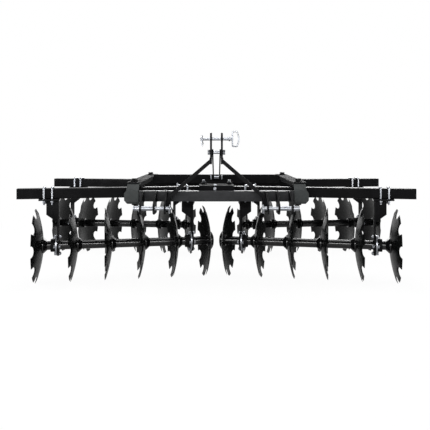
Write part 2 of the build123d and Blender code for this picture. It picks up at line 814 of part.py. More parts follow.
# Stays: flat bars on edge from the mast back to the ears on the rear cross tube
run_y = stay_rear_y - leg_y
run_z = stay_rear_z - mast_bolt_z
with BuildPart() as stays:
    for side in (-1, 1):
        with BuildSketch(Plane.YZ.offset(side * stay_x - stay_t / 2)):
            with Locations((leg_y + run_y / 2, mast_bolt_z + run_z / 2)):
                SlotCenterToCenter(
                    sqrt(run_y**2 + run_z**2), stay_w, rotation=degrees(atan2(run_z, run_y))
                )
            with Locations((leg_y, mast_bolt_z), (stay_rear_y, stay_rear_z)):
                Circle(mast_bolt_d / 2 + running_gap, mode=Mode.SUBTRACT)
        extrude(amount=stay_t)
write(stays.part, "mast_stays")
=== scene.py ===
import json
import math

import bmesh
import bpy
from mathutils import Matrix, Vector


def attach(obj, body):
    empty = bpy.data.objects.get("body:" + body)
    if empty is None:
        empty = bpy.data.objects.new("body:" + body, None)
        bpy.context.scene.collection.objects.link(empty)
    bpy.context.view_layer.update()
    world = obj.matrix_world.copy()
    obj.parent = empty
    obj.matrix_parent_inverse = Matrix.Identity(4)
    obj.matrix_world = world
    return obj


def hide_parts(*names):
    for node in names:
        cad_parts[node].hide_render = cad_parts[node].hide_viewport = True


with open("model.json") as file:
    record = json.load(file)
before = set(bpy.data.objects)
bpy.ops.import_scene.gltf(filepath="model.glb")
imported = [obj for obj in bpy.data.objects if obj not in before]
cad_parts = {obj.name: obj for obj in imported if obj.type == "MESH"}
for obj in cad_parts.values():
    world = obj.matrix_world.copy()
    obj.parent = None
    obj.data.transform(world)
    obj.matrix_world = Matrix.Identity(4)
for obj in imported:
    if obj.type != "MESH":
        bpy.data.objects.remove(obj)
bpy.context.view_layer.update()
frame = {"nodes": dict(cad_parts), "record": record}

scene = bpy.context.scene

# Studio. The camera stands level in front of the hitch, and its shift gives the photograph's
# framing. The backdrop is white, the room behind the camera is dim, and the floor is a white
# sheet that keeps a soft shadow under the machine.
PHOTO_PX = 430.0
LENS_PX, CENTRE_PX, HORIZON_PX = 547.4, 216.45, 147.26
CAMERA_AT = (0.0, -3.955, 0.844)
camera_data = bpy.data.cameras.new("camera")
camera_data.sensor_width = 36.0
camera_data.lens = LENS_PX / PHOTO_PX * camera_data.sensor_width
camera_data.shift_x = (PHOTO_PX / 2 - CENTRE_PX) / PHOTO_PX
camera_data.shift_y = (HORIZON_PX - PHOTO_PX / 2) / PHOTO_PX
camera_data.clip_end = 100.0
camera = bpy.data.objects.new("camera", camera_data)
camera.location = CAMERA_AT
camera.rotation_euler = (math.radians(90), 0.0, 0.0)
scene.collection.objects.link(camera)
scene.camera = camera
scene.view_settings.view_transform = "Standard"


def nodes_of(tree):
    """Clears a node tree and gives short calls to add a node and to link two sockets."""
    tree.nodes.clear()

    def add(kind, **settings):
        node = tree.nodes.new(kind)
        for name, value in settings.items():
            if hasattr(node, name) and name not in node.inputs:
                setattr(node, name, value)
            else:
                node.inputs[name].default_value = value
        return node

    return add, tree.links.new


def ramp_of(add, *stops):
    """A grey colour ramp through stops of place and level."""
    ramp = add("ShaderNodeValToRGB")
    while len(ramp.color_ramp.elements) < len(stops):
        ramp.color_ramp.elements.new(0.5)
    for element, (place, level) in zip(ramp.color_ramp.elements, stops):
        element.position = place
        element.color = (level, level, level, 1.0)
    return ramp


def ray_kinds(add, link):
    """A value that is 1 for the camera's rays, and one that is 1 for mirrored and refracted
    rays."""
    paths = add("ShaderNodeLightPath")
    mirrored = add("ShaderNodeMath", operation="MAXIMUM")
    link(paths.outputs["Is Glossy Ray"], mirrored.inputs[0])
    link(paths.outputs["Is Transmission Ray"], mirrored.inputs[1])
    return paths.outputs["Is Camera Ray"], mirrored.outputs[0]


WHITE = (1.0, 1.0, 1.0, 1.0)
# Stops of direction and level: the room by height, and the backdrop by how far to the rear.
ROOM_STOPS = ((0.03, 0.30), (0.50, 0.04))
BACKDROP_STOPS = ((0.70, 0.0), (0.96, 1.0))
world = bpy.data.worlds.new("studio")
scene.world = world
world.use_nodes = True
add, link = nodes_of(world.node_tree)
from_camera, mirrored = ray_kinds(add, link)
direction = add("ShaderNodeTexCoord")
split = add("ShaderNodeSeparateXYZ")
height = ramp_of(add, *ROOM_STOPS)
behind = ramp_of(add, *BACKDROP_STOPS)
backdrop = add("ShaderNodeMath", operation="MULTIPLY")
white = add("ShaderNodeMath", operation="MAXIMUM")
room = add("ShaderNodeBackground")
sheet = add("ShaderNodeBackground", Color=WHITE)
mix = add("ShaderNodeMixShader")
out = add("ShaderNodeOutputWorld")
link(direction.outputs["Generated"], split.inputs[0])
link(split.outputs["Z"], height.inputs[0])
link(split.outputs["Y"], behind.inputs[0])
link(height.outputs[0], room.inputs["Color"])
link(mirrored, backdrop.inputs[0])
link(behind.outputs[0], backdrop.inputs[1])
link(backdrop.outputs[0], white.inputs[0])
link(from_camera, white.inputs[1])
link(white.outputs[0], mix.inputs[0])
link(room.outputs[0], mix.inputs[1])
link(sheet.outputs[0], mix.inputs[2])
link(mix.outputs[0], out.inputs[0])

# The floor is matt near the machine and fades into the white backdrop further out. In
# reflections its colour is darker, which is painted shade. Each fade has a near and a far
# distance and its share of glow up close.
FLOOR_HALF = 40.0
FLOOR_WHITE, MIRROR_PAINTED_SHADE = 0.93, -0.55
CAMERA_FADE, CAMERA_GLOW = (1.2, 3.0), 0.95
MIRROR_FADE, MIRROR_GLOW = (1.5, 5.0), 0.20
floor_mesh = bpy.data.meshes.new("floor")
floor_mesh.from_pydata(
    [(x * FLOOR_HALF, y * FLOOR_HALF, 0.0) for x, y in ((-1, -1), (1, -1), (1, 1), (-1, 1))],
    [], [(0, 1, 2, 3)],
)
floor = bpy.data.objects.new("floor", floor_mesh)
scene.collection.objects.link(floor)
floor_finish = bpy.data.materials.new("floor_white")
floor_finish.use_nodes = True
add, link = nodes_of(floor_finish.node_tree)
from_camera, mirrored = ray_kinds(add, link)
where = add("ShaderNodeTexCoord")
reach = add("ShaderNodeVectorMath", operation="LENGTH")
amount = add("ShaderNodeMath", operation="MAXIMUM")
shade = add("ShaderNodeMath", operation="MULTIPLY_ADD")
shade.inputs[1].default_value = MIRROR_PAINTED_SHADE
shade.inputs[2].default_value = FLOOR_WHITE
matt = add("ShaderNodeBsdfDiffuse")
glow = add("ShaderNodeEmission", Color=WHITE)
mix = add("ShaderNodeMixShader")
out = add("ShaderNodeOutputMaterial")
link(where.outputs["Object"], reach.inputs[0])
link(mirrored, shade.inputs[0])
link(shade.outputs[0], matt.inputs["Color"])
fades = ((from_camera, CAMERA_FADE, CAMERA_GLOW), (mirrored, MIRROR_FADE, MIRROR_GLOW))
for slot, (seen, (near, far), least) in enumerate(fades):
    fade = add("ShaderNodeMapRange", **{"From Min": near, "From Max": far, "To Min": least})
    shown = add("ShaderNodeMath", operation="MULTIPLY")
    link(reach.outputs["Value"], fade.inputs["Value"])
    link(fade.outputs[0], shown.inputs[0])
    link(seen, shown.inputs[1])
    link(shown.outputs[0], amount.inputs[slot])
link(amount.outputs[0], mix.inputs[0])
link(matt.outputs[0], mix.inputs[1])
link(glow.outputs[0], mix.inputs[2])
link(mix.outputs[0], out.inputs[0])
floor_mesh.materials.append(floor_finish)

# Softboxes: name, place, width, height, watts. All of them face the middle of the machine.
SOFTBOXES = (
    ("strip", (-0.4, -5.2, 2.1), 7.0, 0.5, 230.0),
    ("overhead", (0.0, 0.2, 4.0), 3.4, 2.0, 120.0),
    ("near left", (-1.9, -2.3, 1.1), 0.8, 0.8, 12.0),
    ("left", (-3.8, -0.4, 0.9), 2.4, 1.2, 65.0),
    ("right", (3.8, -0.4, 0.9), 2.4, 1.2, 55.0),
    ("behind", (0.8, 4.4, 2.2), 4.4, 1.2, 170.0),
)
AIM = Vector((0.0, 0.0, 0.4))
for name, place, width, tall, watts in SOFTBOXES:
    lamp_data = bpy.data.lights.new(name, "AREA")
    lamp_data.shape = "RECTANGLE"
    lamp_data.size = width
    lamp_data.size_y = tall
    lamp_data.energy = watts
    lamp = bpy.data.objects.new(name, lamp_data)
    lamp.location = place
    lamp.rotation_euler = (AIM - Vector(place)).to_track_quat("-Z", "Y").to_euler()
    scene.collection.objects.link(lamp)

# Frame tubes, rails, folded corners and pivot brackets: cut, folded and welded steel under a
# satin black powder coat. The coat rounds each edge, so the solids get softened edges that
# catch the light.
CLOUD_SPAN = (0.3, 0.7)


def tint_of(add, low, high):
    """A ramp from one colour to another over the span where most of a noise lies."""
    ramp = ramp_of(add, *((place, 0.0) for place in CLOUD_SPAN))
    for element, colour in zip(ramp.color_ramp.elements, (low, high)):
        element.color = (*colour, 1.0)
    return ramp


def paint(name, colour, rough, shine, bump=0.35, grain=420.0):
    """Paint with a fine orange peel, a cloudy gloss and a little wandering of its colour."""
    finish = bpy.data.materials.new(name)
    finish.use_nodes = True
    add, link = nodes_of(finish.node_tree)
    where = add("ShaderNodeTexCoord")
    cloud = add("ShaderNodeTexNoise", Scale=9.0, Detail=4.0, Roughness=0.6)
    peel = add("ShaderNodeTexNoise", Scale=grain, Detail=2.0)
    gloss = add("ShaderNodeMapRange", **{
        "From Min": CLOUD_SPAN[0], "From Max": CLOUD_SPAN[1],
        "To Min": rough - 0.06, "To Max": rough + 0.07,
    })
    tone = tint_of(add, [c * 0.75 for c in colour], [c * 1.3 for c in colour])
    raised = add("ShaderNodeBump", Strength=bump, Distance=0.0004)
    skin = add("ShaderNodeBsdfPrincipled", **{"Specular IOR Level": shine})
    out = add("ShaderNodeOutputMaterial")
    link(where.outputs["Object"], cloud.inputs["Vector"])
    link(where.outputs["Object"], peel.inputs["Vector"])
    link(cloud.outputs["Fac"], gloss.inputs["Value"])
    link(gloss.outputs[0], skin.inputs["Roughness"])
    link(cloud.outputs["Fac"], tone.inputs[0])
    link(tone.outputs[0], skin.inputs["Base Color"])
    link(peel.outputs["Fac"], raised.inputs["Height"])
    link(raised.outputs[0], skin.inputs["Normal"])
    link(skin.outputs[0], out.inputs[0])
    return finish


# The front cross tube's black is a lighter copy of the frame's black: painted light, standing
# in for the light its front face catches.
powder_black_painted_light = paint("powder_black_painted_light", (0.019, 0.0195, 0.021), rough=0.42, shine=0.14)
# The folded corners' black is a lighter copy of the frame's black: painted light, standing in
# for the light that falls on them.
corner_black_painted_light = paint("corner_black_painted_light", (0.026, 0.029, 0.029), rough=0.46, shine=0.18)
mast_black = paint("mast_black", (0.006, 0.006, 0.0065), rough=0.50, shine=0.05)
matt_black = paint("matt_black", (0.006, 0.006, 0.0065), rough=0.64, shine=0.02)


def body_of(node):
    """The CAD body that a node rides on."""
    for body, members in frame["record"]["behaviour"]["bodies"].items():
        if node in members:
            return body


MERGE = 1e-5
FLAT_TURN = 0.6


def softened(node, finish, edge=0.0012, turn=35.0, second=None, is_second=None):
    """Stands for a CAD node: its own mesh, merged, with its sharp edges rounded by edge.
    Faces whose middle passes is_second take the second finish."""
    mesh = frame["nodes"][node].data.copy()
    work = bmesh.new()
    work.from_mesh(mesh)
    bmesh.ops.remove_doubles(work, verts=work.verts, dist=MERGE)
    bmesh.ops.dissolve_limit(
        work, angle_limit=math.radians(FLAT_TURN), verts=work.verts, edges=work.edges
    )
    mesh.materials.clear()
    mesh.materials.append(finish)
    if second:
        mesh.materials.append(second)
        for face in work.faces:
            face.material_index = int(is_second(face.calc_center_median()))
    work.to_mesh(mesh)
    work.free()
    piece = bpy.data.objects.new(node + "_finished", mesh)
    scene.collection.objects.link(piece)
    rounding = piece.modifiers.new("rounded_edges", "BEVEL")
    rounding.width = edge
    rounding.segments = 2
    rounding.limit_method = "ANGLE"
    rounding.angle_limit = math.radians(turn)
    rounding.use_clamp_overlap = True
    mesh.shade_smooth()
    mesh.set_sharp_from_angle(angle=math.radians(turn))
    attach(piece, body_of(node))
    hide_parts(node)
    return piece


SIDES = {"left": -1, "right": 1}
ROWS = ("front", "rear")
softened("front_cross_tube", powder_black_painted_light)
for node in ("rear_cross_tube", "pivot_bracket_front", "pivot_bracket_rear"):
    softened(node, matt_black)
for side in SIDES:
    softened(f"side_rail_{side}", matt_black)
    for row in ROWS:
        softened(f"corner_{row}_{side}", corner_black_painted_light)

# Hitch lugs, mast and stays: thick flat bar, cut, bored and coated in the same black. The
# slanted bars leave the head plates a little lower than the CAD's do, as in the photograph.
# The drop is full at the bar's root on the plate and fades out towards its foot.
BAR_DROP = 0.024
BAR_X = (0.0394, 0.3030)
BAR_ROOT_Z = (0.755, 0.8025)
BAR_LOW_Z = 0.53
ON_PLATE = 0.0003
for side in SIDES:
    softened(f"hitch_lugs_{side}", mast_black, 0.0009)
    leg = softened(f"mast_leg_{side}", mast_black, 0.0012)
    for vert in leg.data.vertices:
        past_plate = abs(vert.co.x) - BAR_X[0]
        at_root = abs(past_plate) < ON_PLATE and BAR_ROOT_Z[0] < vert.co.z < BAR_ROOT_Z[1]
        if at_root or (past_plate > ON_PLATE and vert.co.z > BAR_LOW_Z):
            vert.co.z -= BAR_DROP * (1.0 - past_plate / (BAR_X[1] - BAR_X[0]))
softened("mast_stays", matt_black, 0.0008)

# Weld beads: a hand-run fillet closes each joint of the frame, a chain of overlapping ripples
# under the paint. One node tree strings the ripples along each seam.


def repeater(name, inputs):
    """A node group that sets instances on points and ends in real meshes with a finish. Gives
    the group, its calls to add and link, its input node and the node that sets instances."""
    tree = bpy.data.node_groups.new(name, "GeometryNodeTree")
    for label, kind in (*inputs, ("Finish", "Material")):
        tree.interface.new_socket(
            name=label, in_out="INPUT", socket_type="NodeSocket" + kind
        )
    tree.interface.new_socket(
        name="Pieces", in_out="OUTPUT", socket_type="NodeSocketGeometry"
    )
    add, link = nodes_of(tree)
    given = add("NodeGroupInput")
    placed = add("GeometryNodeInstanceOnPoints")
    real = add("GeometryNodeRealizeInstances")
    coat = add("GeometryNodeSetMaterial")
    result = add("NodeGroupOutput")
    link(placed.outputs["Instances"], real.inputs["Geometry"])
    link(real.outputs["Geometry"], coat.inputs["Geometry"])
    link(given.outputs["Finish"], coat.inputs["Material"])
    link(coat.outputs["Geometry"], result.inputs["Pieces"])
    return tree, add, link, given, placed


def spaced_along(add, link, lines, step):
    """Points along lines, one every step, as an output socket."""
    curves = add("GeometryNodeMeshToCurve")
    spaced = add("GeometryNodeResampleCurve", mode="LENGTH")
    link(lines, curves.inputs["Mesh"])
    link(curves.outputs["Curve"], spaced.inputs["Curve"])
    link(step, spaced.inputs["Length"])
    return spaced.outputs["Curve"]


def keep_piece(name, mesh, body, turn, replaced=None):
    """Adds a mesh to a body as one piece, smooth but for edges sharper than turn."""
    mesh.shade_smooth()
    mesh.set_sharp_from_angle(angle=math.radians(turn))
    piece = bpy.data.objects.new(name, mesh)
    scene.collection.objects.link(piece)
    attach(piece, body)
    if replaced:
        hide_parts(replaced)


def lines_mesh(name, lines):
    """A mesh of loose edges, one for each pair of end points."""
    mesh = bpy.data.meshes.new(name)
    points = [point for line in lines for point in line]
    mesh.from_pydata(points, [(2 * i, 2 * i + 1) for i in range(len(lines))], [])
    return mesh


def grown(name, seed_mesh, tree, settings, finish, body, replaced=None):
    """Runs a node group on a seed mesh and keeps the plain result as one piece on a body."""
    seed = bpy.data.objects.new(name + "_seed", seed_mesh)
    scene.collection.objects.link(seed)
    modifier = seed.modifiers.new("grow", "NODES")
    modifier.node_group = tree
    named = {item.name: item.identifier for item in tree.interface.items_tree}
    for label, value in {**settings, "Finish": finish}.items():
        modifier[named[label]] = value
    ready = seed.evaluated_get(bpy.context.evaluated_depsgraph_get())
    mesh = bpy.data.meshes.new_from_object(ready)
    mesh.name = name
    seed.modifiers.clear()
    bpy.data.objects.remove(seed)
    keep_piece(name, mesh, body, 50.0, replaced)


RIPPLE_STEP = 0.0032
RIPPLE_SCALES = (0.86, 1.12)
bead_tree, add, link, given, placed = repeater(
    "weld_bead", (("Seams", "Geometry"), ("Ripple", "Float"), ("Step", "Float"))
)
ripple = add("GeometryNodeMeshIcoSphere", Subdivisions=2)
wobble = add("FunctionNodeRandomValue", data_type="FLOAT", Seed=7)
wobble.inputs[2].default_value, wobble.inputs[3].default_value = RIPPLE_SCALES
link(given.outputs["Ripple"], ripple.inputs["Radius"])
link(
    spaced_along(add, link, given.outputs["Seams"], given.outputs["Step"]),
    placed.inputs["Points"],
)
link(ripple.outputs["Mesh"], placed.inputs["Instance"])
link(wobble.outputs[1], placed.inputs["Scale"])


def welded(name, seams, body, ripple):
    """Weld beads along seams, each a pair of end points."""
    grown(name, lines_mesh(name + "_seed", seams), bead_tree,
          {"Ripple": ripple, "Step": RIPPLE_STEP}, mast_black, body)


FRAME_RIPPLE = 0.0032
LUG_X, LUG_HALF = (0.308, 0.375, 0.455), 0.005
FRONT_FACE_Y = -0.5550
FRONT_TUBE_Z = (0.5065, 0.5715)
REAR_TUBE_Y = (0.2735, 0.3385)
RAIL_X = (0.483, 0.559)
RAIL_TOP_Z = 0.624
RAIL_SEAM_Z = 0.595
RAIL_END_Y = (-0.5231, 0.5360)
RAIL_END_SUNK = 0.002
EAR_X, EAR_Z = (0.0274, 0.0354), (0.592, 0.631)
MAST_Y = (-0.6100, -0.5600)
FOOT_X, FOOT_Z = 0.303, (0.452, 0.532)
BAR_UPRIGHT_Z = (0.772, 0.800)
BAR_LEVEL_Z = (0.770, 0.801)
BAR_PROUD = 0.0002
BRACKET_HALF = 0.112
# place of the web's outer face, and the seam's low and high end, for each bracket
BRACKET_SEAMS = ((-0.4900, 0.512, 0.570), (0.3385, 0.569, 0.600))
seams = []
for s in SIDES.values():
    for x in LUG_X:
        for face in (x - LUG_HALF, x + LUG_HALF):
            seams.append([(s * face, FRONT_FACE_Y, z) for z in FRONT_TUBE_Z])
    seams.append([(s * RAIL_X[0], FRONT_FACE_Y, z) for z in FRONT_TUBE_Z])
    seams.append([(s * RAIL_X[0], y, RAIL_TOP_Z) for y in REAR_TUBE_Y])
    seams.append([(s * RAIL_X[0], REAR_TUBE_Y[0], z) for z in (RAIL_SEAM_Z, RAIL_TOP_Z)])
    for y in RAIL_END_Y:
        seams.append([(s * x, y, RAIL_TOP_Z - RAIL_END_SUNK) for x in RAIL_X])
    for x in EAR_X:
        seams.append([(s * x, REAR_TUBE_Y[0], z) for z in EAR_Z])
    for y in MAST_Y:
        seams.append([(s * FOOT_X, y, z) for z in FOOT_Z])
        seams.append([(s * BAR_X[0], y, z - BAR_DROP) for z in BAR_UPRIGHT_Z])
    for z in BAR_LEVEL_Z:
        seams.append([(s * (BAR_X[0] + BAR_PROUD), y, z - BAR_DROP) for y in MAST_Y])
    for web_y, low, high in BRACKET_SEAMS:
        seams.append([(s * BRACKET_HALF, web_y, z) for z in (low, high)])
welded("frame_welds", seams, "frame", FRAME_RIPPLE)

# Hitch and mast pins and bolts: turned and forged steel with a bright zinc plate. The pivot
# bolts are painted over with the frame.


def plated(name, colour, rough):
    """Zinc plate: fine grained, a little cloudy, with faint bluish patches."""
    finish = bpy.data.materials.new(name)
    finish.use_nodes = True
    add, link = nodes_of(finish.node_tree)
    where = add("ShaderNodeTexCoord")
    cloud = add("ShaderNodeTexNoise", Scale=20.0, Detail=3.0, Roughness=0.5)
    grain = add("ShaderNodeTexNoise", Scale=900.0, Detail=2.0)
    gloss = add("ShaderNodeMapRange", **{"To Min": rough - 0.04, "To Max": rough + 0.08})
    bluish = [c * level for c, level in zip(colour, (0.8, 0.82, 0.86))]
    tone = tint_of(add, bluish, [c * 1.15 for c in colour])
    raised = add("ShaderNodeBump", Strength=0.02, Distance=0.0001)
    skin = add("ShaderNodeBsdfPrincipled", Metallic=1.0)
    out = add("ShaderNodeOutputMaterial")
    link(where.outputs["Object"], cloud.inputs["Vector"])
    link(where.outputs["Object"], grain.inputs["Vector"])
    link(cloud.outputs["Fac"], gloss.inputs["Value"])
    link(gloss.outputs[0], skin.inputs["Roughness"])
    link(cloud.outputs["Fac"], tone.inputs[0])
    link(tone.outputs[0], skin.inputs["Base Color"])
    link(grain.outputs["Fac"], raised.inputs["Height"])
    link(raised.outputs[0], skin.inputs["Normal"])
    link(skin.outputs[0], out.inputs[0])
    return finish


zinc = plated("zinc", (0.40, 0.41, 0.43), rough=0.34)
for node in ("top_link_pin", "mast_bolts", "lower_pin_left", "lower_pin_right"):
    softened(node, zinc, 0.0006, 25.0)
softened("pivot_bolts", mast_black, 0.0008, 25.0)

# Linch pins: a straight shank through the pin's end and a sprung wire ring that snaps over it,
# bright zinc. One stops each lower pin at its inner end, and one hangs in the top-link pin.
SHANK_R, HEAD_R, SPRING_R = 0.0036, 0.0062, 0.0019
HEAD_Z = (-0.004, 0.006)
HINGE_Y, HINGE_Z = -0.004, -0.002
RING_STEPS, RING_LONG = 28, 1.25


def wire(name, points, radius, closed=False):
    """Round zinc wire through a row of points, on the frame."""
    curve = bpy.data.curves.new(name, "CURVE")
    curve.dimensions = "3D"
    curve.bevel_depth = radius
    curve.bevel_resolution = 3
    curve.use_fill_caps = True
    spline = curve.splines.new("POLY")
    spline.points.add(len(points) - 1)
    for point, place in zip(spline.points, points):
        point.co = (*place, 1.0)
    spline.use_cyclic_u = closed
    seed = bpy.data.objects.new(name + "_seed", curve)
    scene.collection.objects.link(seed)
    ready = seed.evaluated_get(bpy.context.evaluated_depsgraph_get())
    mesh = bpy.data.meshes.new_from_object(ready)
    bpy.data.objects.remove(seed)
    mesh.materials.clear()
    mesh.materials.append(zinc)
    keep_piece(name, mesh, "frame", 50.0)


def linch_pin(name, hole, top, tip, ring_r, lean):
    """Shank down through a hole from top to tip, with a ring hinged at the top and hanging in
    a plane square to the pin, tipped by lean."""
    x, y, z = hole
    ring = []
    for step in range(RING_STEPS):
        turn = 2 * math.pi * step / RING_STEPS
        drop = ring_r * (1.0 - math.cos(turn)) * RING_LONG
        across = ring_r * math.sin(turn)
        ring.append((x + lean * drop, y + HINGE_Y + across, z + top + HINGE_Z - drop))
    wire(name, [(x, y, z + top), (x, y, z - tip)], SHANK_R)
    wire(name + "_head", [(x, y, z + top + end) for end in HEAD_Z], HEAD_R)
    wire(name + "_ring", ring, SPRING_R, closed=True)


LOWER_HOLE_X, LOWER_PIN_Y, LOWER_PIN_Z = 0.2795, -0.6750, 0.477
TOP_HOLE = (-0.0900, -0.5850, 0.895)
for side, s in SIDES.items():
    linch_pin(f"linch_pin_{side}", (s * LOWER_HOLE_X, LOWER_PIN_Y, LOWER_PIN_Z),
              top=0.017, tip=0.030, ring_r=0.019, lean=0.15 * s)
linch_pin("linch_pin_top", TOP_HOLE, top=0.016, tip=0.046, ring_r=0.020, lean=0.2)

# Gang beams: black square tube. It is the deepest black on the machine, and only its top face
# and its rounded edges catch the backdrop.
beam_black = paint("beam_black", (0.004, 0.004, 0.0044), rough=0.24, shine=0.05, bump=0.20)
GANGS = {
    # row: pivot y, gang angle, place of the first disc, hollow side (1 is the outer)
    "front": (-0.335247, math.radians(-11.1), 0.0, 1),
    "rear": (0.391016, math.radians(7.1), 0.1197, -1),
}
PIVOT_X = 0.085
AXLE_Z = 0.2285


def gang_place(row, side, u, v, z):
    """Point u outwards along a gang from its pivot, v behind its line, at height z."""
    pivot_y, angle, _, _ = GANGS[row]
    x = PIVOT_X + u * math.cos(angle) - v * math.sin(angle)
    y = pivot_y + u * math.sin(angle) + v * math.cos(angle)
    return Vector((SIDES[side] * x, y, z))


def gang_step(row, side, u, v):
    """The way u outwards along a gang and v behind its line."""
    return gang_place(row, side, u, v, 0) - gang_place(row, side, 0, 0, 0)


for row in ROWS:
    for side in SIDES:
        softened(f"gang_beam_{row}_{side}", beam_black)

# Hangers: a clamp plate, a web square to the axle and a gusset, welded together, then coated.
# Two carry each gang, on the spools outside its first and its last disc but one.
PITCH, DISH, PLATE = 0.212, 0.040, 0.0045
DISCS = 6
HUNG = (0, DISCS - 2)
WEB_IN = 0.010
WEB_HALF = 0.005
UNDER_PLATE_Z = 0.5127
HANGER_RIPPLE = 0.0028
PLATE_V = (-0.027, 0.027)
GUSSET_V, GUSSET_U, GUSSET_Z = -0.028, (0.008, 0.066), (0.510, 0.380)


def web_place(row, k):
    """Place along the gang of the web on the spool outside disc k."""
    _, _, first, lean = GANGS[row]
    return first + k * PITCH - lean * DISH + (PITCH + lean * PLATE) / 2 + lean * WEB_IN


def hanger_seams(row, side, k):
    """Seams of one hanger: both faces of its web under the plate, then its gusset's edges."""
    web, lean = web_place(row, k), GANGS[row][3]
    seams = [[(face, v, UNDER_PLATE_Z) for v in PLATE_V] for face in (-WEB_HALF, WEB_HALF)]
    seams.append([(lean * WEB_HALF, GUSSET_V, z) for z in GUSSET_Z])
    seams.append([(lean * u, GUSSET_V, UNDER_PLATE_Z) for u in GUSSET_U])
    return [[gang_place(row, side, web + u, v, z) for u, v, z in seam] for seam in seams]


for row in ROWS:
    for side in SIDES:
        softened(f"hangers_{row}_{side}", mast_black, 0.0009)
        seams = [seam for k in HUNG for seam in hanger_seams(row, side, k)]
        welded(f"hanger_welds_{row}_{side}", seams, f"beam_{row}_{side}", HANGER_RIPPLE)

# Bearings: flanged cast housings on the webs. The flange faces show bright zinc, and the
# housing behind is black, with a grease nipple at its top.
FLANGE_T = 0.0095
HOUSING_L = 0.040
HOUSING_R = 0.040
# reach along the axle in which a face belongs to the housing
HOUSING_REACH = (FLANGE_T + 0.0004, HOUSING_L + 0.002)
NIPPLE_REACH = 0.026
NIPPLE_STEPS = 10
# distance up the nipple, and its radius there
NIPPLE = ((-0.002, 0.0042), (0.003, 0.0042), (0.003, 0.0032), (0.0075, 0.0028),
          (0.0085, 0.0020), (0.0095, 0.0030), (0.0112, 0.0024), (0.0120, 0.0010))


def lathed(name, start, way, outline, body, steps):
    """Turned zinc part: outline is a row of distance from start along way, and radius."""
    start, line = Vector(start), Vector(way)
    across = line.orthogonal().normalized()
    over = line.cross(across)
    turns = [2 * math.pi * i / steps for i in range(steps)]
    work = bmesh.new()
    rings = []
    for reach, radius in outline:
        middle = start + line * reach
        rings.append([
            work.verts.new(middle + (across * math.cos(turn) + over * math.sin(turn)) * radius)
            for turn in turns
        ])
    for low, high in zip(rings, rings[1:]):
        for i in range(steps):
            after = (i + 1) % steps
            work.faces.new((low[i], low[after], high[after], high[i]))
    work.faces.new(rings[0])
    work.faces.new(rings[-1])
    bmesh.ops.recalc_face_normals(work, faces=work.faces)
    mesh = bpy.data.meshes.new(name)
    work.to_mesh(mesh)
    work.free()
    mesh.materials.append(zinc)
    keep_piece(name, mesh, body, 40.0)


for row in ROWS:
    lean = GANGS[row][3]
    for side in SIDES:
        webs = [web_place(row, k) for k in HUNG]
        seats = [gang_place(row, side, web + lean * WEB_HALF, 0.0, AXLE_Z) for web in webs]
        outwards = gang_step(row, side, 1, 0) * lean

        def on_housing(middle):
            low, high = HOUSING_REACH
            return any(low < (middle - seat).dot(outwards) < high for seat in seats)

        softened(f"bearings_{row}_{side}", zinc, 0.0012, 35.0, mast_black,
                 on_housing)
        for k, seat in zip(("inner", "outer"), seats):
            foot = seat + outwards * NIPPLE_REACH + Vector((0, 0, HOUSING_R))
            lathed(f"grease_nipple_{row}_{side}_{k}", foot, (0, 0, 1), NIPPLE,
                   f"beam_{row}_{side}", NIPPLE_STEPS)

# U-bolts, flange bolts and lock bolts: bright zinc, apart from the lock bolts, which are
# painted with the frame. Rolled threads show below the U-bolts' nuts and above the pivots.
THREAD_SIDES, THREAD_ROOT = 16, 0.86
thread_tree, add, link, given, placed = repeater(
    "rolled_thread", (("Stems", "Geometry"), ("Radius", "Float"), ("Lead", "Float"))
)
tangent = add("GeometryNodeInputTangent")
aligned = add("FunctionNodeAlignRotationToVector", axis="Z")
root = add("ShaderNodeMath", operation="MULTIPLY")
root.inputs[1].default_value = THREAD_ROOT
ridge = add("GeometryNodeMeshCone", Vertices=THREAD_SIDES)
link(tangent.outputs[0], aligned.inputs["Vector"])
link(given.outputs["Radius"], root.inputs[0])
link(root.outputs[0], ridge.inputs["Radius Top"])
link(given.outputs["Radius"], ridge.inputs["Radius Bottom"])
link(given.outputs["Lead"], ridge.inputs["Depth"])
link(
    spaced_along(add, link, given.outputs["Stems"], given.outputs["Lead"]),
    placed.inputs["Points"],
)
link(ridge.outputs["Mesh"], placed.inputs["Instance"])
link(aligned.outputs[0], placed.inputs["Rotation"])


def threaded(name, stems, radius, lead, body):
    """Rolled threads along stems, each a pair of end points."""
    grown(name, lines_mesh(name + "_seed", stems), thread_tree,
          {"Radius": radius, "Lead": lead}, zinc, body)


UBOLT_V = 0.0388
UBOLT_ALONG, UBOLT_HALF_PITCH = 0.0585, 0.0245
UBOLT_U = (UBOLT_ALONG - UBOLT_HALF_PITCH, UBOLT_ALONG + UBOLT_HALF_PITCH)
UBOLT_END_Z = (0.5015, 0.4880)
LOCK_X, LOCK_REACH = 0.528, 0.03
PIVOT_END_Z = (0.614, 0.627)
for row in ROWS:
    lean = GANGS[row][3]
    for side in SIDES:
        lock = gang_place(row, side, (LOCK_X - PIVOT_X) / math.cos(GANGS[row][1]), 0.0, 0.0)

        def on_lock_bolt(middle):
            return math.hypot(middle.x - lock.x, middle.y - lock.y) < LOCK_REACH

        softened(f"beam_bolts_{row}_{side}", zinc, 0.0005, 40.0, mast_black,
                 on_lock_bolt)
        stems = [
            [gang_place(row, side, web_place(row, k) + lean * u, v, z) for z in UBOLT_END_Z]
            for k in HUNG for u in UBOLT_U for v in (-UBOLT_V, UBOLT_V)
        ]
        threaded(f"ubolt_threads_{row}_{side}", stems, 0.0063, 0.00175, f"beam_{row}_{side}")
stems = [
    [(s * PIVOT_X, GANGS[row][0], z) for z in PIVOT_END_Z]
    for row in ROWS for s in SIDES.values()
]
threaded("pivot_threads", stems, 0.0098, 0.0022, "frame")

